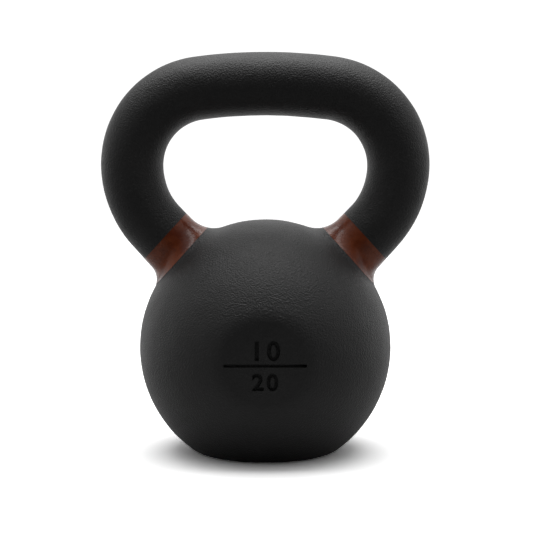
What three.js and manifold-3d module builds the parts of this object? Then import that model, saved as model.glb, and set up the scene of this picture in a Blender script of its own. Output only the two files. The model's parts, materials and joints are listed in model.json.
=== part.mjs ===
// A kettlebell: one solid iron casting under a powder coat, with a band of colour round each horn.
// Millimetres, +Z up. The origin is the middle of the flat base, X runs along the grip, and the
// face that carries the weight mark looks along -Y.

import * as THREE from "three";
import { ParametricGeometry } from "three/addons/geometries/ParametricGeometry.js";
import { mergeVertices } from "three/addons/utils/BufferGeometryUtils.js";
import Module from "manifold-3d";

// Sizes over the finished coat.
const OVERALL_WIDTH = 190.2;
const BALL_DIAMETER = 146;
const BASE_DIAMETER = 83.2; // the flat round base
const FACE_DIAMETER = 49.4; // the round flat on the front of the ball, and its twin on the back

// The handle. Its centreline is a straight horn, a swept side, a round corner and a slight arch.
const WINDOW_HEIGHT = 61.1; // from the top of the ball to the underside of the grip
const GRIP_DIAMETER = 36.5;
const NECK_DIAMETER = 35.4; // the horn is a little thinner than the grip
const ARCH_RADIUS = 290;
const CORNER_RADIUS = 44.4;
const HORN_LENGTH = 21; // straight part of a horn, from the ball's surface

// The fillet between horn and ball is wider towards the hand window than outside it.
const FILLET_RADIUS = 14;
const FILLET_SPREAD = 3.5;

// The coats.
const COAT_THICKNESS = 0.4;
const FIT_GAP = 0.3; // between the iron and its coat, and between a coat and a band
const BAND_START = -1.5; // the band's lower edge, along the horn from the ball's surface
const BAND_WIDTH = 14.9; // along the horn
const BAND_LEAN = 4.4; // degrees that the edges of a band lean out further than square to the horn

// How finely the surface is divided: round the horn, and along one half of the body.
const AROUND = 40;
const BALL_STEPS = 14;
const FILLET_STEPS = 5;
const SIDE_STEPS = 4;
const CORNER_STEPS = 9;
const ARCH_STEPS = 3;

const ballRadius = BALL_DIAMETER / 2;
const gripRadius = GRIP_DIAMETER / 2;
const neckRadius = NECK_DIAMETER / 2;
const ballCentreHeight = Math.sqrt(ballRadius ** 2 - (BASE_DIAMETER / 2) ** 2);

// The handle's centreline, seen from the front with the ball's centre at 0, 0: where the grip's
// middle, the arch and the round corner lie. The corner's arc starts at the handle's widest point.
const gripHeight = ballRadius + WINDOW_HEIGHT + gripRadius;
const widest = OVERALL_WIDTH / 2 - gripRadius;
const archCentre = gripHeight - ARCH_RADIUS;
const archLean = Math.asin((widest - CORNER_RADIUS) / (ARCH_RADIUS - CORNER_RADIUS));
const cornerCentre = archCentre + (ARCH_RADIUS - CORNER_RADIUS) * Math.cos(archLean);

// The horn leans out just so far that one arc takes its straight end to the widest point.
const hornReach = ballRadius + HORN_LENGTH;
const hornTilt = 2 * Math.atan(widest / (cornerCentre + hornReach));
const hornAxis = new THREE.Vector2(Math.sin(hornTilt), Math.cos(hornTilt));
const sideTangent = cornerCentre - widest / Math.tan(hornTilt);
const sideRadius = sideTangent / Math.tan(hornTilt / 2);

const wasm = await Module();
wasm.setup();

// One arc of the handle's centreline, and the number of steps along it.
function handleArc(centreX, centreY, radius, from, to, steps) {
  return { steps, curve: new THREE.EllipseCurve(centreX, centreY, radius, radius, from, to) };
}

// The centreline of the right half of the handle, from the end of its straight horn to the
// middle of the grip: x across, y up from the ball's centre.
const cornerTurn = Math.PI / 2 - archLean;
const handleArcs = [
  handleArc(widest - sideRadius, cornerCentre, sideRadius, -hornTilt, 0, SIDE_STEPS),
  handleArc(widest - CORNER_RADIUS, cornerCentre, CORNER_RADIUS, 0, cornerTurn, CORNER_STEPS),
  handleArc(0, archCentre, ARCH_RADIUS, cornerTurn, Math.PI / 2, ARCH_STEPS),
];
const handleSteps = SIDE_STEPS + CORNER_STEPS + ARCH_STEPS;

// The centreline's point and direction so many steps from the end of the horn.
function centrelineAt(step) {
  let [arc, ...rest] = handleArcs;
  let left = Math.max(step, 0);
  while (left > arc.steps && rest.length > 0) {
    left -= arc.steps;
    [arc, ...rest] = rest;
  }
  const share = Math.min(left / arc.steps, 1);
  return { centre: arc.curve.getPoint(share), forward: arc.curve.getTangent(share) };
}

// The whole surface is one closed skin, so a single function gives every point of it. Going
// along, it starts on the ball's middle plane, runs over the ball to the horn, up the fillet and
// the handle to the middle of the grip, and mirrored down the other side. Going around, it
// circles the horn. Depth is how far the skin lies under the finished surface: a larger depth
// gives the parallel skin inside it. The horn swells to the grip's thickness in its first bend.
function bodySkin(depth) {
  const filletStart = BALL_STEPS;
  const hornStart = BALL_STEPS + FILLET_STEPS;
  const handleStart = hornStart + 1;
  const lastStation = handleStart + handleSteps;

  // Distance along the horn's axis and distance from it, on the ball and on the fillet.
  function profile(station, turn) {
    const fillet = FILLET_RADIUS + FILLET_SPREAD * Math.cos(turn);
    const filletOut = neckRadius + fillet;
    const filletAlong = Math.sqrt((ballRadius + fillet) ** 2 - filletOut ** 2);
    if (station <= filletStart) {
      const middlePlane = Math.atan2(hornAxis.x, hornAxis.y * Math.cos(turn));
      const contact = Math.atan2(filletOut, filletAlong);
      const angle = THREE.MathUtils.lerp(middlePlane, contact, station / filletStart);
      const radius = ballRadius - depth;
      return [radius * Math.cos(angle), radius * Math.sin(angle)];
    }
    const sweep = Math.atan2(filletAlong, filletOut);
    const angle = sweep * (1 - (station - filletStart) / FILLET_STEPS);
    const radius = fillet + depth;
    return [filletAlong - radius * Math.sin(angle), filletOut - radius * Math.cos(angle)];
  }

  function point(around, along, target) {
    const side = along <= 0.5 ? 1 : -1;
    const station = (1 - Math.abs(2 * along - 1)) * lastStation;
    // Equal steps on the ball's middle plane, seen as a turn about the horn. 0 faces the window.
    const step = -2 * Math.PI * around;
    const turn = Math.atan2(Math.sin(step), Math.cos(step) * hornAxis.x);
    if (station <= hornStart) {
      const [axial, out] = profile(station, turn);
      const inward = out * Math.cos(turn);
      const x = axial * hornAxis.x - inward * hornAxis.y;
      const z = axial * hornAxis.y + inward * hornAxis.x;
      return target.set(side * x, out * Math.sin(turn), z);
    }
    const { centre, forward } = centrelineAt(station - handleStart);
    const share = THREE.MathUtils.clamp((station - handleStart) / handleSteps, 0, 1);
    const swell = 1 - (1 - share) ** 3;
    const radius = THREE.MathUtils.lerp(neckRadius, gripRadius, swell) - depth;
    const inward = radius * Math.cos(turn);
    const x = centre.x - inward * forward.y;
    const z = centre.y + inward * forward.x;
    return target.set(side * x, radius * Math.sin(turn), z);
  }

  return new ParametricGeometry(point, AROUND, 2 * lastStation);
}

function solidFrom(geometry) {
  geometry.deleteAttribute("normal");
  geometry.deleteAttribute("uv");
  const merged = mergeVertices(geometry);
  return new wasm.Manifold(
    new wasm.Mesh({
      numProp: 3,
      vertProperties: merged.getAttribute("position").array,
      triVerts: new Uint32Array(merged.getIndex().array),
    }),
  );
}

function meshFrom(name, solid, material) {
  const { vertProperties, triVerts } = solid.getMesh();
  const geometry = new THREE.BufferGeometry();
  geometry.setAttribute("position", new THREE.BufferAttribute(vertProperties, 3));
  geometry.setIndex(new THREE.BufferAttribute(triVerts, 1));
  geometry.computeVertexNormals();
  const mesh = new THREE.Mesh(geometry, material);
  mesh.name = name;
  mesh.position.z = ballCentreHeight;
  return mesh;
}

// The kettlebell's whole shape at a depth, with its flat base and its two round flats.
function body(depth) {
  const block = 2 * BALL_DIAMETER;
  const base = new THREE.BoxGeometry(block, block, block);
  base.translate(0, 0, depth - ballCentreHeight - block / 2);
  let solid = solidFrom(bodySkin(depth)).subtract(solidFrom(base));
  const faceDistance = Math.sqrt(ballRadius ** 2 - (FACE_DIAMETER / 2) ** 2) - depth;
  for (const side of [-1, 1]) {
    const face = new THREE.BoxGeometry(block, block, block);
    face.translate(0, side * (faceDistance + block / 2), 0);
    solid = solid.subtract(solidFrom(face));
  }
  return solid;
}

// A thin disc across a horn, which parts the coat along one edge of a band.
function partingDisc(side, distance) {
  const disc = new THREE.CylinderGeometry(NECK_DIAMETER, NECK_DIAMETER, FIT_GAP, AROUND);
  disc.rotateX(Math.PI / 2);
  disc.rotateY(side * THREE.MathUtils.degToRad(BAND_LEAN));
  disc.translate(0, 0, distance);
  disc.rotateY(side * hornTilt);
  return solidFrom(disc);
}

// The skin over the iron, parted at both edges of both bands. It falls into four pieces.
function coatPieces() {
  let coat = body(0).subtract(body(COAT_THICKNESS));
  const lowerEdge = ballRadius + BAND_START;
  for (const side of [-1, 1]) {
    for (const distance of [lowerEdge, lowerEdge + BAND_WIDTH]) {
      coat = coat.subtract(partingDisc(side, distance));
    }
  }
  const pieces = coat.decompose();
  const lowest = (piece) => piece.boundingBox().min[2];
  const leftmost = (piece) => piece.boundingBox().min[0];
  const [ball, ...above] = pieces.sort((a, b) => lowest(a) - lowest(b));
  const highest = (piece) => piece.boundingBox().max[2];
  const [handle, ...bands] = above.sort((a, b) => highest(b) - highest(a));
  const [left, right] = bands.sort((a, b) => leftmost(a) - leftmost(b));
  return { ball, handle, left, right };
}

const ironFinish = new THREE.MeshStandardMaterial({ color: 0x5b5b5d, roughness: 0.7, metalness: 0.7 });
const powderFinish = new THREE.MeshStandardMaterial({ color: 0x232323, roughness: 0.65, metalness: 0 });
const bandFinish = new THREE.MeshStandardMaterial({ color: 0x4f2014, roughness: 0.25, metalness: 0 });

const coats = coatPieces();
const kettlebell = new THREE.Group();
kettlebell.add(
  meshFrom("iron_casting", body(COAT_THICKNESS + FIT_GAP), ironFinish),
  meshFrom("ball_powder_coat", coats.ball, powderFinish),
  meshFrom("handle_powder_coat", coats.handle, powderFinish.clone()),
  meshFrom("left_colour_band", coats.left, bandFinish),
  meshFrom("right_colour_band", coats.right, bandFinish.clone()),
);

export default kettlebell;
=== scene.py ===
# %% [markdown]
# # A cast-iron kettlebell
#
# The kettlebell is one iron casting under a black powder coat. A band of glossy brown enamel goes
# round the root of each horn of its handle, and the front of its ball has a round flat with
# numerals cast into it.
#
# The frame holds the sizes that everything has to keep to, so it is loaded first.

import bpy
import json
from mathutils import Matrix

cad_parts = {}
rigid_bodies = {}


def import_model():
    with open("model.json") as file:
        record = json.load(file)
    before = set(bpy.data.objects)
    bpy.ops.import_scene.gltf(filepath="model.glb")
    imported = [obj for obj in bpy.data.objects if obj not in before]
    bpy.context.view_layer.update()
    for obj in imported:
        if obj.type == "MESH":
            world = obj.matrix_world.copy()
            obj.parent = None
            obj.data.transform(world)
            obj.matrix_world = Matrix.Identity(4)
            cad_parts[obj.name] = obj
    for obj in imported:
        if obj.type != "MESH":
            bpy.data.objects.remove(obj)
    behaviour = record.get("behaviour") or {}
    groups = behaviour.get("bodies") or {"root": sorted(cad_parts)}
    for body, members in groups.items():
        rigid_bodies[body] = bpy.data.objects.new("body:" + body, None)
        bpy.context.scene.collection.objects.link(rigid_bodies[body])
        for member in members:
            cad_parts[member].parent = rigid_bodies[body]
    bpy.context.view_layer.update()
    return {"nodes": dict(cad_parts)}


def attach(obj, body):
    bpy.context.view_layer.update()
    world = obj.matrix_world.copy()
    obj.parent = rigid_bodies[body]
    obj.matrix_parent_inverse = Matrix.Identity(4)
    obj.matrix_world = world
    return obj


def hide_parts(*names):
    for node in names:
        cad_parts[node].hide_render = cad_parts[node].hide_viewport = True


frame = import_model()

import json
import math

import bmesh
import bpy
from mathutils import Vector

print("The CAD nodes:", sorted(frame["nodes"]))

# %% [markdown]
# ## The driving dimensions
#
# A kettlebell is drawn from a ball and a bent bar. The ball has a diameter and a flat base. The
# bar has a thickness, a height over the ball, a width, and three arcs: a long one up each side,
# a tight one round each corner and a very flat one across the top. They are given here once, in
# metres, over the finished coat, and everything else is worked out from them.

# %% Driving dimensions
MM = 0.001

BALL_RADIUS = 73 * MM
BASE_RADIUS = 41.6 * MM
FACE_RADIUS = 24.7 * MM
OVERALL_WIDTH = 190.2 * MM  # at the grip's full thickness; the handle comes out 0.5 mm narrower
WINDOW_HEIGHT = 61.1 * MM  # from the top of the ball to the underside of the grip
GRIP_RADIUS = 18.25 * MM
NECK_RADIUS = 17.7 * MM
ARCH_RADIUS = 290 * MM
CORNER_RADIUS = 44.4 * MM
HORN_LENGTH = 21 * MM
FILLET_RADIUS = 14 * MM
FILLET_SPREAD = 3.5 * MM  # the fillet is this much wider towards the hand window
BAND_START = -1.5 * MM  # along the horn, from the ball's surface
BAND_WIDTH = 14.9 * MM
BAND_LEAN = math.radians(4.4)  # a band's edges lean out this much further than square to the horn
CROWN_RISE = 1.2 * MM  # the ball is this much fuller between the horns

ball_centre = Vector((0, 0, math.sqrt(BALL_RADIUS**2 - BASE_RADIUS**2)))
grip_height = BALL_RADIUS + WINDOW_HEIGHT + GRIP_RADIUS
widest = OVERALL_WIDTH / 2 - GRIP_RADIUS

print("The ball's centre is", round(ball_centre.z / MM, 2), "mm above the floor")

# %% [markdown]
# ## The bar's centreline
#
# Each half of the bar leaves the ball as a straight horn, and one arc takes it from there to its
# widest point. The lean of the horn follows from that, because two lines that touch an arc are
# equally long. The corner's arc and the flat arch then meet where their directions agree.
#
# A bent bar could be made from a curve object with a bevel. Here it is extruded ring by ring
# instead, because the horn has to grow out of the ball without a seam, and it swells a little
# from the neck to the grip.

# %% The bar's centreline
arch_centre = grip_height - ARCH_RADIUS
arch_lean = math.asin((widest - CORNER_RADIUS) / (ARCH_RADIUS - CORNER_RADIUS))
corner_centre = arch_centre + (ARCH_RADIUS - CORNER_RADIUS) * math.cos(arch_lean)
horn_reach = BALL_RADIUS + HORN_LENGTH
horn_lean = 2 * math.atan(widest / (corner_centre + horn_reach))
side_radius = (corner_centre - widest / math.tan(horn_lean)) / math.tan(horn_lean / 2)
horn_axis = Vector((math.sin(horn_lean), 0, math.cos(horn_lean)))
horn_inward = Vector((-math.cos(horn_lean), 0, math.sin(horn_lean)))

print("The horns lean out", round(math.degrees(horn_lean), 2), "degrees")

# %% [markdown]
# ## Working by hand, in code
#
# An operator acts on whatever is selected, so three small helpers take the place of the mouse:
# one makes a piece the only one selected, one opens it in edit mode, and one selects its faces
# by a test on their place and direction.

# %% Helpers for selecting


def pick(piece):
    """Makes the piece the active object and the only one selected, in object mode."""
    if bpy.context.object and bpy.context.object.mode != "OBJECT":
        bpy.ops.object.mode_set(mode="OBJECT")
    bpy.ops.object.select_all(action="DESELECT")
    if piece:
        bpy.context.view_layer.objects.active = piece
        piece.select_set(True)


def open_mesh(piece, action="SELECT"):
    """Opens the piece in edit mode with all of it selected, or nothing."""
    pick(piece)
    bpy.ops.object.mode_set(mode="EDIT")
    bpy.ops.mesh.select_all(action=action)


def select_faces(piece, wanted):
    """Selects the faces for which wanted(centre, normal) is true, in edit mode."""
    open_mesh(piece, "DESELECT")
    bpy.ops.mesh.select_mode(type="FACE")
    shape = bmesh.from_edit_mesh(piece.data)
    for face in shape.faces:
        face.select = wanted(face.calc_center_median(), face.normal)
    shape.select_flush(True)
    bmesh.update_edit_mesh(piece.data)


def apply_modifier(piece, kind, name, **settings):
    """Adds one modifier to the piece, sets it and applies it."""
    pick(piece)
    bpy.ops.object.modifier_add(type=kind)
    modifier = piece.modifiers[-1]
    modifier.name = name
    for setting, value in settings.items():
        setattr(modifier, setting, value)
    bpy.ops.object.modifier_apply(modifier=name)


def millimetres(piece):
    """The piece's size along x, y and z, for printing."""
    return [round(side / MM, 1) for side in piece.dimensions]


# %% [markdown]
# ## Half a ball, open at the horn
#
# The casting is the same on both sides, so only its right half is modelled. It starts as a UV
# sphere whose pole lies on the horn, so its rings already circle the place where the horn will
# grow. One bisect keeps the right half, and a second one opens the ball where the fillet starts.
#
# The fillet is wider on the side of the hand window, so it touches the ball on a circle that
# leans a little towards the window. The sphere's pole takes that lean.

# %% Half a ball
AROUND = 144  # divisions round the horn
EXACT = 0.001 * MM  # how near to a cutting plane a vertex counts as lying on it


def fillet_profile(side, share):
    """A point of the fillet in the horn's plane: share 0 is on the ball, 1 on the neck.

    The side is 1 towards the hand window and -1 away from it."""
    radius = FILLET_RADIUS + side * FILLET_SPREAD
    out = NECK_RADIUS + radius
    along = math.sqrt((BALL_RADIUS + radius) ** 2 - out**2)
    turn = math.atan2(along, out) * (1 - share)
    axial = along - radius * math.sin(turn)
    away = out - radius * math.cos(turn)
    return ball_centre + axial * horn_axis + side * away * horn_inward


def ring_between(inner, outer):
    """The ring whose diameter runs from inner to outer: its centre, lean and radius."""
    across = inner - outer
    lean = math.atan2(across.z, -across.x)
    return (inner + outer) / 2, lean, across.length / 2


fillet_start = ring_between(fillet_profile(1, 0), fillet_profile(-1, 0))
pole_lean = fillet_start[1]

pick(None)
bpy.ops.mesh.primitive_uv_sphere_add(
    segments=AROUND, ring_count=AROUND // 2, radius=BALL_RADIUS,
    location=ball_centre, rotation=(0, pole_lean, 0), calc_uvs=False,
)
body = bpy.context.object
body.name = "kettlebell_skin"
bpy.ops.object.transform_apply(location=True, rotation=True, scale=True)

open_mesh(body)
bpy.ops.mesh.bisect(plane_co=(0, 0, 0), plane_no=(-1, 0, 0), clear_outer=True, threshold=EXACT)
bpy.ops.mesh.select_all(action="SELECT")
pole = (math.sin(pole_lean), 0, math.cos(pole_lean))
bpy.ops.mesh.bisect(plane_co=fillet_start[0], plane_no=pole, clear_outer=True, threshold=EXACT)
print("Half a ball, open where the fillet starts:", len(body.data.polygons), "faces")

# %% [markdown]
# ## The horn and the handle, ring by ring
#
# The second bisect left its cut edge selected: a ring of edges round the opening. That ring is
# extruded, moved, turned and scaled again and again. Each ring of the fillet has its diameter
# between two arcs, one on the window's side and one on the outer side, which is what makes the
# fillet soft and lopsided like the real one. After the fillet the rings follow the centreline,
# and their radius grows from the neck to the grip, quickly at first.

# %% Extrude the fillet and the handle
FILLET_RINGS = 20
HORN_RINGS = 3
SIDE_RINGS = 18
CORNER_RINGS = 40
ARCH_RINGS = 14


def extrude_to(ring, goal):
    """Extrudes the selected ring of edges and brings it to the goal's place, lean and size."""
    centre, lean, radius = ring
    goal_centre, goal_lean, goal_radius = goal
    bpy.ops.mesh.extrude_region_move(TRANSFORM_OT_translate={"value": goal_centre - centre})
    bpy.ops.transform.rotate(value=lean - goal_lean, orient_axis="Y", center_override=goal_centre)
    bpy.ops.transform.resize(value=[goal_radius / radius] * 3, center_override=goal_centre)


rings = []
for step in range(1, FILLET_RINGS + 1):
    share = step / FILLET_RINGS
    rings.append(ring_between(fillet_profile(1, share), fillet_profile(-1, share)))

neck_reach = (rings[-1][0] - ball_centre).dot(horn_axis)
for step in range(1, HORN_RINGS + 1):
    distance = neck_reach + (horn_reach - neck_reach) * step / HORN_RINGS
    rings.append((ball_centre + distance * horn_axis, horn_lean, NECK_RADIUS))

# The three arcs: their centre, radius, first and last angle, and number of rings.
arcs = [
    (widest - side_radius, corner_centre, side_radius, -horn_lean, 0, SIDE_RINGS),
    (widest - CORNER_RADIUS, corner_centre, CORNER_RADIUS, 0, math.pi / 2 - arch_lean, CORNER_RINGS),
    (0, arch_centre, ARCH_RADIUS, math.pi / 2 - arch_lean, math.pi / 2, ARCH_RINGS),
]
handle_rings = SIDE_RINGS + CORNER_RINGS + ARCH_RINGS
done = 0
for centre_x, centre_z, radius, first, last, count in arcs:
    for step in range(1, count + 1):
        angle = first + (last - first) * step / count
        place = Vector((centre_x + radius * math.cos(angle), 0, centre_z + radius * math.sin(angle)))
        done += 1
        swell = 1 - (1 - done / handle_rings) ** 3
        thickness = NECK_RADIUS + (GRIP_RADIUS - NECK_RADIUS) * swell
        rings.append((ball_centre + place, -angle, thickness))

ring = fillet_start
for goal in rings:
    extrude_to(ring, goal)
    ring = goal
print("Rings from the ball to the middle of the grip:", len(rings))

# %% [markdown]
# ## The two edges of a colour band
#
# The band's two edges are drawn parallel, and lean out a few degrees further than square to the
# horn. Two bisects mark them. Nothing is removed: they only leave clean edges where the coats will
# part later. No other part of the half body reaches between those planes, so all of it can stay
# selected.
#
# The three finishes are then assigned to three empty material slots, face by face, while the
# edges are still exactly flat. Whatever bends the surface later, each face keeps its slot.

# %% Mark the band's edges
band_normal = Vector((math.sin(horn_lean + BAND_LEAN), 0, math.cos(horn_lean + BAND_LEAN)))
band_edges = [BALL_RADIUS + BAND_START, BALL_RADIUS + BAND_START + BAND_WIDTH]
for edge in band_edges:
    bpy.ops.mesh.select_all(action="SELECT")
    bpy.ops.mesh.bisect(plane_co=ball_centre + edge * horn_axis, plane_no=band_normal,
                         threshold=EXACT)


def reach(place):
    """Where a plane through the place, parallel to the band's edges, meets the horn's axis."""
    return (place - ball_centre).dot(band_normal) / horn_axis.dot(band_normal)


for first, last in [(-math.inf, band_edges[0]), band_edges, (band_edges[1], math.inf)]:
    select_faces(body, lambda place, _: first < reach(place) <= last)
    bpy.ops.object.material_slot_add()
    bpy.ops.object.material_slot_assign()
body.active_material_index = 0
print("Band from", [round(edge / MM, 1) for edge in band_edges], "mm along the horn")

# %% [markdown]
# ## The other half
#
# The Mirror modifier closes the ball and the handle into one skin. Its seam is merged, and the
# normals are recalculated, because a mirrored half can end up facing inwards.

# %% Mirror and close
apply_modifier(body, "MIRROR", "both_halves", use_axis=(True, False, False),
               use_mirror_merge=True, merge_threshold=0.02 * MM)
open_mesh(body)
bpy.ops.mesh.remove_doubles(threshold=0.002 * MM)
bpy.ops.mesh.select_all(action="SELECT")
bpy.ops.mesh.normals_make_consistent(inside=False)
pick(body)
print("The whole skin:", millimetres(body), "mm,", len(body.data.polygons), "faces")

# %% [markdown]
# ## A fuller crown
#
# The hand window ends on a crown that stands about a millimetre higher than a sphere would. The
# faces between the horns are pulled up by proportional editing, which takes the surface around
# them along and fades out down the front, the back and the horns. It follows the surface, so the
# handle above stays where it is.

# %% Raise the crown
CROWN_HALF_WIDTH = 36 * MM
CROWN_FOOT = 58 * MM  # the crown is all of the ball that lies higher than this over its centre
CROWN_FADE = 32 * MM  # how far the rise takes the surface around it along
MIDDLE_STRIP = 5 * MM  # the crown's height is measured this near to its middle
window_middle = ball_centre.z + BALL_RADIUS + WINDOW_HEIGHT / 2

select_faces(body, lambda place, _: abs(place.x) < CROWN_HALF_WIDTH
             and ball_centre.z + CROWN_FOOT < place.z < window_middle)
bpy.ops.transform.translate(
    value=(0, 0, CROWN_RISE), use_proportional_edit=True, use_proportional_connected=True,
    proportional_edit_falloff="SMOOTH", proportional_size=CROWN_FADE,
)
pick(body)
crown = max(v.co.z for v in body.data.vertices
            if abs(v.co.x) < MIDDLE_STRIP and v.co.z < window_middle)
print("The crown is", round((crown - ball_centre.z) / MM, 2), "mm above the ball's centre")

# %% [markdown]
# ## Sand-cast surfaces are never quite true
#
# Iron poured in sand comes out with shallow hollows and swellings, a tenth of a millimetre deep
# and a centimetre or two across. They can't be seen as such, but they make every highlight waver
# a little. A Displace modifier with a soft cloud texture makes them, before the flats are cut, so
# the flats stay flat.

# %% Uneven casting
HOLLOW_SIZE = 16 * MM
HOLLOW_DEPTH = 0.35 * MM

hollows = bpy.data.textures.new("sand_cast_hollows", "CLOUDS")
hollows.noise_scale = HOLLOW_SIZE
hollows.noise_depth = 1
apply_modifier(body, "DISPLACE", "uneven_casting", texture=hollows, texture_coords="LOCAL",
               strength=HOLLOW_DEPTH, mid_level=0.5)
print("After the casting's unevenness:", millimetres(body), "mm")

# %% [markdown]
# ## The flat base and the two round flats
#
# The base, the marked face and its twin at the back are the same shape: a cap cut off the ball,
# with a rounded edge. Each is made by a bisect where the rounding leaves the ball, by extruding
# the open edge along the rounding's arc, and by filling the ring that is left. A narrow inset
# keeps the flat's shading flat up to its edge. The two faces have a soft rounding. The base's is
# small, so it stands firm.

# %% Cut the three flats
FACE_ROUNDING = 8 * MM
BASE_ROUNDING = 3 * MM
ROUNDING_RINGS = 10
FLAT_BORDER = 0.5 * MM


def cut_flat(piece, direction, distance, rounding):
    """Takes a cap off the ball, at a distance from its centre, and rounds the edge that it leaves."""
    direction = Vector(direction)
    arc_out = math.sqrt((BALL_RADIUS - rounding) ** 2 - (distance - rounding) ** 2)
    arc_along = distance - rounding
    widest_turn = math.atan2(arc_out, arc_along)

    def arc(turn):
        centre = ball_centre + direction * (arc_along + rounding * math.cos(turn))
        return centre, arc_out + rounding * math.sin(turn)

    centre, radius = arc(widest_turn)
    open_mesh(piece)
    bpy.ops.mesh.bisect(plane_co=centre, plane_no=direction, clear_outer=True, threshold=EXACT)
    for step in range(1, ROUNDING_RINGS + 1):
        goal, goal_radius = arc(widest_turn * (1 - step / ROUNDING_RINGS))
        bpy.ops.mesh.extrude_region_move(TRANSFORM_OT_translate={"value": goal - centre})
        bpy.ops.transform.resize(value=[goal_radius / radius] * 3, center_override=goal)
        centre, radius = goal, goal_radius
    bpy.ops.mesh.edge_face_add()
    bpy.ops.mesh.inset(thickness=FLAT_BORDER)
    return radius


face_distance = math.sqrt(BALL_RADIUS**2 - FACE_RADIUS**2)
for name, direction, distance, rounding in [
    ("marked face", (0, -1, 0), face_distance, FACE_ROUNDING),
    ("back face", (0, 1, 0), face_distance, FACE_ROUNDING),
    ("base", (0, 0, -1), ball_centre.z, BASE_ROUNDING),
]:
    flat_radius = cut_flat(body, direction, distance, rounding)
    print("The", name, "is flat to a radius of", round(flat_radius / MM, 1), "mm")
pick(body)
print("With its flats:", millimetres(body), "mm")

# %% [markdown]
# ## The iron inside
#
# The powder coat is drawn a fifth of a millimetre thick. The iron is a copy of the skin, brought
# in by a little more than that, before the numerals are cut into either of them.

# %% A copy for the iron
COAT_FILM = 0.2 * MM
IRON_DEPTH = 0.26 * MM  # a little more than the film, so the two never touch

pick(body)
bpy.ops.object.duplicate()
iron = bpy.context.object
iron.name = "iron_casting_body"
open_mesh(iron)
bpy.ops.transform.shrink_fatten(value=-IRON_DEPTH)
pick(iron)
print("The iron:", millimetres(iron), "mm")

# %% [markdown]
# ## The cast numerals
#
# Plain numerals are cast into the face, over and under a rule. They are placeholders, and don't
# give this kettlebell's weight. Text objects give the numerals. They are thickened until they look
# cast, turned into meshes, and cut out of the face with a Boolean modifier.
#
# The modifier uses its fast solver. The exact one gives no faces here unless it is told to look
# for self-intersections, and each cut then takes about fifteen seconds.
#
# The same cutter, grown by the iron's depth all round, is cut out of the iron, so the coat has
# room to line the groove.

# %% Cut the numerals
MARK_DEPTH = 2.2 * MM
RULE = (45 * MM, 1.7 * MM)
RULE_HEIGHT = -1 * MM
ROWS = [("10", 1.7 * MM, 11.4 * MM), ("20", -14.6 * MM, 10 * MM)]  # numerals, foot, height
CAP_SHARE = 0.73  # the height of a numeral, as a share of the font's size
STROKE = 0.42 * MM  # how far each stroke is thickened on either side
SPACING = 1.25  # the space between numerals, against the font's own
WELD = 0.005 * MM


def mark_cutter(margin):
    """The numerals and the rule as one closed mesh, standing through the face."""
    parts = []
    for numerals, foot, height in ROWS:
        pick(None)
        bpy.ops.object.text_add(
            location=(0, ball_centre.y - face_distance, ball_centre.z + foot + STROKE),
            rotation=(math.pi / 2, 0, 0),
        )
        text = bpy.context.object
        text.data.body = numerals
        text.data.align_x = "CENTER"
        text.data.size = (height - 2 * STROKE) / CAP_SHARE
        text.data.space_character = SPACING
        text.data.offset = STROKE + margin
        text.data.extrude = MARK_DEPTH + margin
        text.data.resolution_u = 6
        bpy.ops.object.convert(target="MESH")
        parts.append(bpy.context.object)
    pick(None)
    bpy.ops.mesh.primitive_cube_add(
        size=1, location=(0, ball_centre.y - face_distance, ball_centre.z + RULE_HEIGHT),
        scale=(RULE[0] + 2 * margin, 2 * (MARK_DEPTH + margin), RULE[1] + 2 * margin),
    )
    rule = bpy.context.object
    for part in parts:
        part.select_set(True)
    bpy.ops.object.join()
    bpy.ops.object.transform_apply(location=True, rotation=True, scale=True)
    open_mesh(rule)
    bpy.ops.mesh.remove_doubles(threshold=WELD)
    bpy.ops.mesh.normals_make_consistent(inside=False)
    pick(rule)
    return rule


for piece, margin in [(body, 0), (iron, IRON_DEPTH)]:
    cutter = mark_cutter(margin)
    apply_modifier(piece, "BOOLEAN", "numerals", object=cutter, operation="DIFFERENCE",
                   solver="FAST")
    bpy.data.objects.remove(cutter)
    print(piece.name, "with its numerals:", len(piece.data.polygons), "faces")

# %% [markdown]
# ## Part the coats
#
# The skin now falls into its four finishes: the ball's coat below the bands, the handle's above
# them, and the two bands. It is separated by its material slots, and the two bands, which share
# one, by their being loose from each other. The parts are told apart by how low and how far left
# they reach.

# %% Part the coats


def split(piece, way):
    """Separates the piece by material or by loose parts, and gives all the parts."""
    others = set(bpy.context.scene.objects) - {piece}
    open_mesh(piece)
    bpy.ops.mesh.separate(type=way)
    pick(None)
    return [part for part in bpy.context.scene.objects if part not in others]


def lowest(piece, axis):
    """The piece's lowest coordinate along x, y or z, as 0, 1 or 2."""
    return min(corner[axis] for corner in piece.bound_box)


ball_coat, bands, handle_coat = sorted(split(body, "MATERIAL"), key=lambda part: lowest(part, 2))
left_band, right_band = sorted(split(bands, "LOOSE"), key=lambda part: lowest(part, 0))
coats = {"ball_coat": ball_coat, "handle_coat": handle_coat,
         "left_band": left_band, "right_band": right_band}
for name, piece in coats.items():
    piece.name = name
    print(name, millimetres(piece), "mm,", len(piece.data.polygons), "faces")

# %% [markdown]
# ## Give the coats their thickness
#
# Each coat is a film with an inner and an outer surface, which the Solidify modifier makes. The
# enamel is brushed on over the powder, so the bands first swell a little beyond it, and their
# edges stand up as real paint does. Smooth shading by angle keeps the numerals' edges crisp.

# %% Films of powder and enamel
ENAMEL_BUILD = 0.09 * MM
CREASE = math.radians(35)

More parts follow.
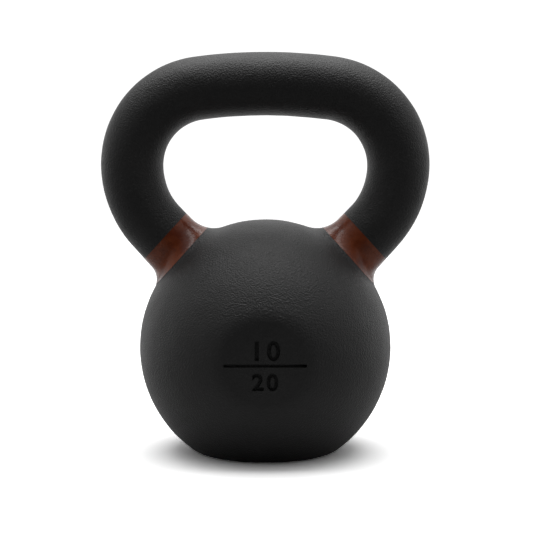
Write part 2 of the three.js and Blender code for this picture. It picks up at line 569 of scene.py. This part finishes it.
for band in (left_band, right_band):
    open_mesh(band)
    bpy.ops.transform.shrink_fatten(value=ENAMEL_BUILD)
for piece, film in [
    (ball_coat, COAT_FILM), (handle_coat, COAT_FILM),
    (left_band, COAT_FILM + ENAMEL_BUILD), (right_band, COAT_FILM + ENAMEL_BUILD),
]:
    apply_modifier(piece, "SOLIDIFY", "film", thickness=film, offset=-1)
for piece in (iron, ball_coat, handle_coat, left_band, right_band):
    pick(piece)
    bpy.ops.object.shade_smooth_by_angle(angle=CREASE)
    print(piece.name, millimetres(piece), "mm,", len(piece.data.polygons), "faces")

# %% [markdown]
# ## The grain of cast and powder-coated iron
#
# The sand leaves the iron pebbled, and powder that melts on it leaves a fine orange peel. Both
# show as a grain of half a millimetre to a millimetre, which breaks up the edge of every
# highlight, and as wide, faint patches where the coat came out a little duller. Iron, powder and
# enamel all show the same grain in different strengths, so it is one node group.

# %% The grain group


def new_node(tree, kind, place, **values):
    """Adds a node at a place on the node sheet, and sets its inputs by name."""
    node = tree.nodes.new(kind)
    node.location = place
    for name, value in values.items():
        node.inputs[name.replace("_", " ")].default_value = value
    return node


def make_grain_group():
    """Height of the grain, and a mask of wide patches, from 0 to 1."""
    group = bpy.data.node_groups.new("cast_grain", "ShaderNodeTree")
    sockets = group.interface
    sockets.new_socket("Vector", in_out="INPUT", socket_type="NodeSocketVector")
    sockets.new_socket("Grains per metre", in_out="INPUT", socket_type="NodeSocketFloat")
    sockets.new_socket("Patches per metre", in_out="INPUT", socket_type="NodeSocketFloat")
    sockets.new_socket("Pebbles", in_out="INPUT", socket_type="NodeSocketFloat")
    sockets.new_socket("Height", in_out="OUTPUT", socket_type="NodeSocketFloat")
    sockets.new_socket("Patches", in_out="OUTPUT", socket_type="NodeSocketFloat")
    start = new_node(group, "NodeGroupInput", (-700, 0))
    peel = new_node(group, "ShaderNodeTexNoise", (-400, 200), Detail=3.0, Roughness=0.55)
    pebble = new_node(group, "ShaderNodeTexVoronoi", (-400, -100))
    pebble.feature = "SMOOTH_F1"
    patch = new_node(group, "ShaderNodeTexNoise", (-400, -400), Detail=4.0, Roughness=0.6)
    mixed = new_node(group, "ShaderNodeMix", (-100, 100))
    end = new_node(group, "NodeGroupOutput", (200, 0))
    link = group.links.new
    for texture, scale in [(peel, "Grains per metre"), (pebble, "Grains per metre"),
                           (patch, "Patches per metre")]:
        link(start.outputs["Vector"], texture.inputs["Vector"])
        link(start.outputs[scale], texture.inputs["Scale"])
    link(start.outputs["Pebbles"], mixed.inputs["Factor"])
    link(peel.outputs["Fac"], mixed.inputs["A"])
    link(pebble.outputs["Distance"], mixed.inputs["B"])
    link(mixed.outputs["Result"], end.inputs["Height"])
    link(patch.outputs["Fac"], end.inputs["Patches"])
    return group


grain_group = make_grain_group()
print("Node group:", grain_group.name)

# %% [markdown]
# ## Black powder coat
#
# Powder coat is a plastic skin: not metallic, almost black, and half matt. Its shine is the
# ordinary one of a plastic, so the index of refraction stays as it is and the roughness does the
# work. The patches move the tone and the roughness a little, and the grain goes into a bump.

# %% Powder coat material


def start_material(name):
    """A new material: its tree, its shader and the object's own coordinates."""
    material = bpy.data.materials.new(name)
    material.use_nodes = True
    tree = material.node_tree
    shader = tree.nodes["Principled BSDF"]
    places = new_node(tree, "ShaderNodeTexCoord", (-1400, 0))
    return material, tree, shader, places.outputs["Object"]


def add_grain(tree, places, grains, patches, pebbles):
    """Places the grain group in a material, with this material's own values."""
    node = new_node(tree, "ShaderNodeGroup", (-1100, 0))
    node.node_tree = grain_group
    node.inputs["Grains per metre"].default_value = grains
    node.inputs["Patches per metre"].default_value = patches
    node.inputs["Pebbles"].default_value = pebbles
    tree.links.new(places, node.inputs["Vector"])
    return node


def ramp(tree, place, mask, stops):
    """A colour ramp from a mask: stops are pairs of position and colour."""
    node = new_node(tree, "ShaderNodeValToRGB", place)
    tree.links.new(mask, node.inputs["Fac"])
    for element, (position, colour) in zip(node.color_ramp.elements, stops):
        element.position = position
        element.color = (*colour, 1)
    return node.outputs["Color"]


def map_range(tree, place, value, limits, kind="LINEAR"):
    """A value taken from one range to another: limits are from low, from high, to low, to high."""
    node = new_node(tree, "ShaderNodeMapRange", place)
    node.interpolation_type = kind
    tree.links.new(value, node.inputs["Value"])
    for name, limit in zip(("From Min", "From Max", "To Min", "To Max"), limits):
        node.inputs[name].default_value = limit
    return node.outputs["Result"]


def bump(tree, place, height, strength, depth, shader):
    """A bump of that depth in metres, from a height of 0 to 1."""
    node = new_node(tree, "ShaderNodeBump", place, Strength=strength, Distance=depth)
    tree.links.new(height, node.inputs["Height"])
    tree.links.new(node.outputs["Normal"], shader.inputs["Normal"])


def make_powder_coat():
    material, tree, shader, places = start_material("black_powder_coat")
    grain = add_grain(tree, places, grains=1150, patches=30, pebbles=0.35)
    tone = ramp(tree, (-600, 300), grain.outputs["Patches"],
                [(0.3, (0.0052, 0.0052, 0.0055)), (0.7, (0.0085, 0.0083, 0.0082))])
    tree.links.new(tone, shader.inputs["Base Color"])
    dull = map_range(tree, (-600, 0), grain.outputs["Patches"], (0.3, 0.7, 0.46, 0.54))
    tree.links.new(dull, shader.inputs["Roughness"])
    bump(tree, (-600, -300), grain.outputs["Height"], 1.0, 0.62 * MM, shader)
    return material


powder_coat = make_powder_coat()
print("Material:", powder_coat.name)

# %% [markdown]
# ## Brown band enamel
#
# The bands are brushed on by hand in a glossy enamel over the powder. It is smoother than the
# powder but reflects a little less straight on, with a thin clear coat on top. The tone is patchy,
# darker where the paint is thick, and the powder's grain still shows through, softer.

# %% Band enamel material


def make_band_enamel():
    material, tree, shader, places = start_material("brown_band_enamel")
    shader.inputs["Specular IOR Level"].default_value = 0.36
    shader.inputs["Coat Weight"].default_value = 0.07
    shader.inputs["Coat Roughness"].default_value = 0.15
    grain = add_grain(tree, places, grains=700, patches=60, pebbles=0.3)
    tone = ramp(tree, (-600, 300), grain.outputs["Patches"],
                [(0.38, (0.112, 0.020, 0.006)), (0.62, (0.215, 0.052, 0.018))])
    tree.links.new(tone, shader.inputs["Base Color"])
    dull = map_range(tree, (-600, 0), grain.outputs["Patches"], (0.3, 0.7, 0.20, 0.32))
    tree.links.new(dull, shader.inputs["Roughness"])
    bump(tree, (-600, -300), grain.outputs["Height"], 0.8, 0.2 * MM, shader)
    return material


band_enamel = make_band_enamel()
print("Material:", band_enamel.name)

# %% [markdown]
# ## Bare grey iron
#
# The iron only shows where a coat is missing, but the model is whole without its coats too. Grey
# iron is a dark metal with a coarse sand grain and spots of brown where it has started to rust.

# %% Iron material


def make_iron():
    material, tree, shader, places = start_material("grey_cast_iron")
    shader.inputs["Metallic"].default_value = 0.8
    grain = add_grain(tree, places, grains=600, patches=60, pebbles=0.6)
    tone = ramp(tree, (-600, 300), grain.outputs["Patches"],
                [(0.4, (0.115, 0.115, 0.12)), (0.72, (0.10, 0.075, 0.055))])
    tree.links.new(tone, shader.inputs["Base Color"])
    dull = map_range(tree, (-600, 0), grain.outputs["Patches"], (0.3, 0.7, 0.55, 0.75))
    tree.links.new(dull, shader.inputs["Roughness"])
    bump(tree, (-600, -300), grain.outputs["Height"], 0.7, 0.2 * MM, shader)
    return material


grey_iron = make_iron()
print("Material:", grey_iron.name)

# %% [markdown]
# ## Hand the pieces to the frame
#
# Every piece is given its material and rides on the root body, and the CAD node that it stands
# for is hidden.

# %% Finishes and frame
for piece, node, slot, material in [
    (iron, "iron_casting", "iron", grey_iron),
    (ball_coat, "ball_powder_coat", "powder_coat", powder_coat),
    (handle_coat, "handle_powder_coat", "powder_coat", powder_coat),
    (left_band, "left_colour_band", "band_enamel", band_enamel),
    (right_band, "right_colour_band", "band_enamel", band_enamel),
]:
    piece.data.materials.clear()
    piece.data.materials.append(material)
    piece.data.name = piece.name
    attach(piece, "root")
    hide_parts(node)
    print(piece.name, "stands for", node)

# %% [markdown]
# ## The floor
#
# The kettlebell stands on a plain, nearly white floor. To the camera it is as bright as the studio
# behind. The black paint would pick up far too much of such a floor, so other rays find it darker,
# with light and shade painted into its colour: a painted pool of light round the base, a brighter
# floor at the back, and a dimmer one in front.

# %% Floor
pick(None)
bpy.ops.mesh.primitive_plane_add(size=12)
floor = bpy.context.object
floor.name = "studio_floor"


def soft_range(tree, place, value, limits):
    """As map_range, but easing in and out."""
    return map_range(tree, place, value, limits, kind="SMOOTHSTEP")


def math_node(tree, place, operation, *values):
    """The result of one arithmetic step on one or two values."""
    node = new_node(tree, "ShaderNodeMath", place)
    node.operation = operation
    for value, socket in zip(values, node.inputs):
        tree.links.new(value, socket)
    return node.outputs[0]


def make_floor():
    material = bpy.data.materials.new("studio_floor_painted_light")
    material.use_nodes = True
    tree = material.node_tree
    tree.nodes.clear()
    places = new_node(tree, "ShaderNodeTexCoord", (-1400, 0))
    axes = new_node(tree, "ShaderNodeSeparateXYZ", (-1200, 200))
    distance = new_node(tree, "ShaderNodeVectorMath", (-1200, -200))
    distance.operation = "DISTANCE"
    distance.inputs[1].default_value = (0, 0.06, 0)
    for node in (axes, distance):
        tree.links.new(places.outputs["Object"], node.inputs[0])
    # Painted light for reflected rays: brighter at the back, a painted pool of light round the base,
    # a dim apron in front.
    back = soft_range(tree, (-800, 400), axes.outputs["Y"], (0.0, 0.40, 0.05, 0.75))
    patch = soft_range(tree, (-800, 100), distance.outputs["Value"], (0.08, 0.28, 0.32, 0.0))
    painted_light_apron = soft_range(tree, (-800, -200), distance.outputs["Value"], (0.3, 0.9, 0.15, 0.0))
    painted_light_front = math_node(tree, (-600, 0), "ADD", patch, painted_light_apron)
    total = math_node(tree, (-400, 200), "ADD", back, painted_light_front)
    rays = new_node(tree, "ShaderNodeLightPath", (-200, 500))
    # The shader that reflected rays see, coloured with the painted light above.
    reflected_painted_light = new_node(tree, "ShaderNodeBsdfDiffuse", (-200, 200))
    seen = new_node(tree, "ShaderNodeBsdfDiffuse", (-200, -100), Color=(1.55, 1.55, 1.55, 1))
    tree.links.new(total, reflected_painted_light.inputs["Color"])
    mixed = new_node(tree, "ShaderNodeMixShader", (0, 0))
    end = new_node(tree, "ShaderNodeOutputMaterial", (200, 0))
    tree.links.new(rays.outputs["Is Camera Ray"], mixed.inputs[0])
    tree.links.new(reflected_painted_light.outputs[0], mixed.inputs[1])
    tree.links.new(seen.outputs[0], mixed.inputs[2])
    tree.links.new(mixed.outputs[0], end.inputs["Surface"])
    return material


floor.data.materials.append(make_floor())

# %% [markdown]
# ## The studio
#
# The light is soft and comes from above and behind, and the side of the camera is dark. That is
# what makes the middle of the ball nearly black and draws a bright line along every edge. The
# world gives the even part of it, brighter towards the back and the top and low down at both
# sides, and dimmer in the upper corners. One wide softbox overhead gives the sheen on the grip and
# the crown of the ball. These tones, and the floor's, are set for the view of the one camera below.

# %% World and lights


def make_world():
    world = bpy.data.worlds.new("studio")
    bpy.context.scene.world = world
    world.use_nodes = True
    tree = world.node_tree
    tree.nodes.clear()
    places = new_node(tree, "ShaderNodeTexCoord", (-1200, 0))
    axes = new_node(tree, "ShaderNodeSeparateXYZ", (-1000, 0))
    tree.links.new(places.outputs["Generated"], axes.inputs[0])
    across = math_node(tree, (-800, 0), "ABSOLUTE", axes.outputs["X"])
    corner = math_node(tree, (-600, 100), "MULTIPLY", across, axes.outputs["Z"])
    back = soft_range(tree, (-600, 400), axes.outputs["Y"], (-1.0, 1.0, 0.005, 1.10))
    middle = soft_range(tree, (-400, 100), corner, (0.0, 0.2, 1.0, 0.62))
    backdrop = math_node(tree, (-200, 300), "MULTIPLY", back, middle)
    wings = soft_range(tree, (-400, -200), across, (0.1, 0.8, 0.0, 0.4))
    low = soft_range(tree, (-400, -500), axes.outputs["Z"], (0.1, 0.5, 1.0, 0.0))
    sides = math_node(tree, (-200, -300), "MULTIPLY", wings, low)
    top = soft_range(tree, (-400, -800), axes.outputs["Z"], (0.45, 1.0, 0.0, 0.6))
    above = math_node(tree, (-200, -600), "ADD", sides, top)
    total = math_node(tree, (-100, 0), "ADD", backdrop, above)
    lighting = new_node(tree, "ShaderNodeBackground", (0, 0))
    tree.links.new(total, lighting.inputs["Strength"])
    white = new_node(tree, "ShaderNodeBackground", (0, -200), Strength=1.1)
    for background in (lighting, white):
        background.inputs["Color"].default_value = (1, 1, 1, 1)
    rays = new_node(tree, "ShaderNodeLightPath", (0, 400))
    mixed = new_node(tree, "ShaderNodeMixShader", (200, 0))
    end = new_node(tree, "ShaderNodeOutputWorld", (400, 0))
    tree.links.new(rays.outputs["Is Camera Ray"], mixed.inputs[0])
    tree.links.new(lighting.outputs[0], mixed.inputs[1])
    tree.links.new(white.outputs[0], mixed.inputs[2])
    tree.links.new(mixed.outputs[0], end.inputs["Surface"])


make_world()

pick(None)
bpy.ops.object.light_add(type="AREA", location=(0, 0.21, 1.3))
softbox = bpy.context.object
softbox.name = "overhead_softbox"
softbox.data.shape = "RECTANGLE"
softbox.data.size = 1.5
softbox.data.size_y = 1.1
softbox.data.energy = 13
softbox.visible_camera = False

# %% [markdown]
# ## The camera
#
# The camera stands level with the hand window, 84 centimetres from the ball's middle, and looks
# slightly down, through a long lens that keeps the ball round.

# %% Camera
CAMERA_FROM_BALL = Vector((0.72, -841.5, 119.77)) * MM
CAMERA_PITCH = math.radians(4.958)

pick(None)
bpy.ops.object.camera_add(
    location=ball_centre + CAMERA_FROM_BALL, rotation=(math.pi / 2 - CAMERA_PITCH, 0, 0)
)
camera = bpy.context.object
camera.name = "studio_camera"
camera.data.lens = 98.07
camera.data.sensor_width = 36
bpy.context.scene.camera = camera
bpy.context.scene.view_settings.view_transform = "Standard"
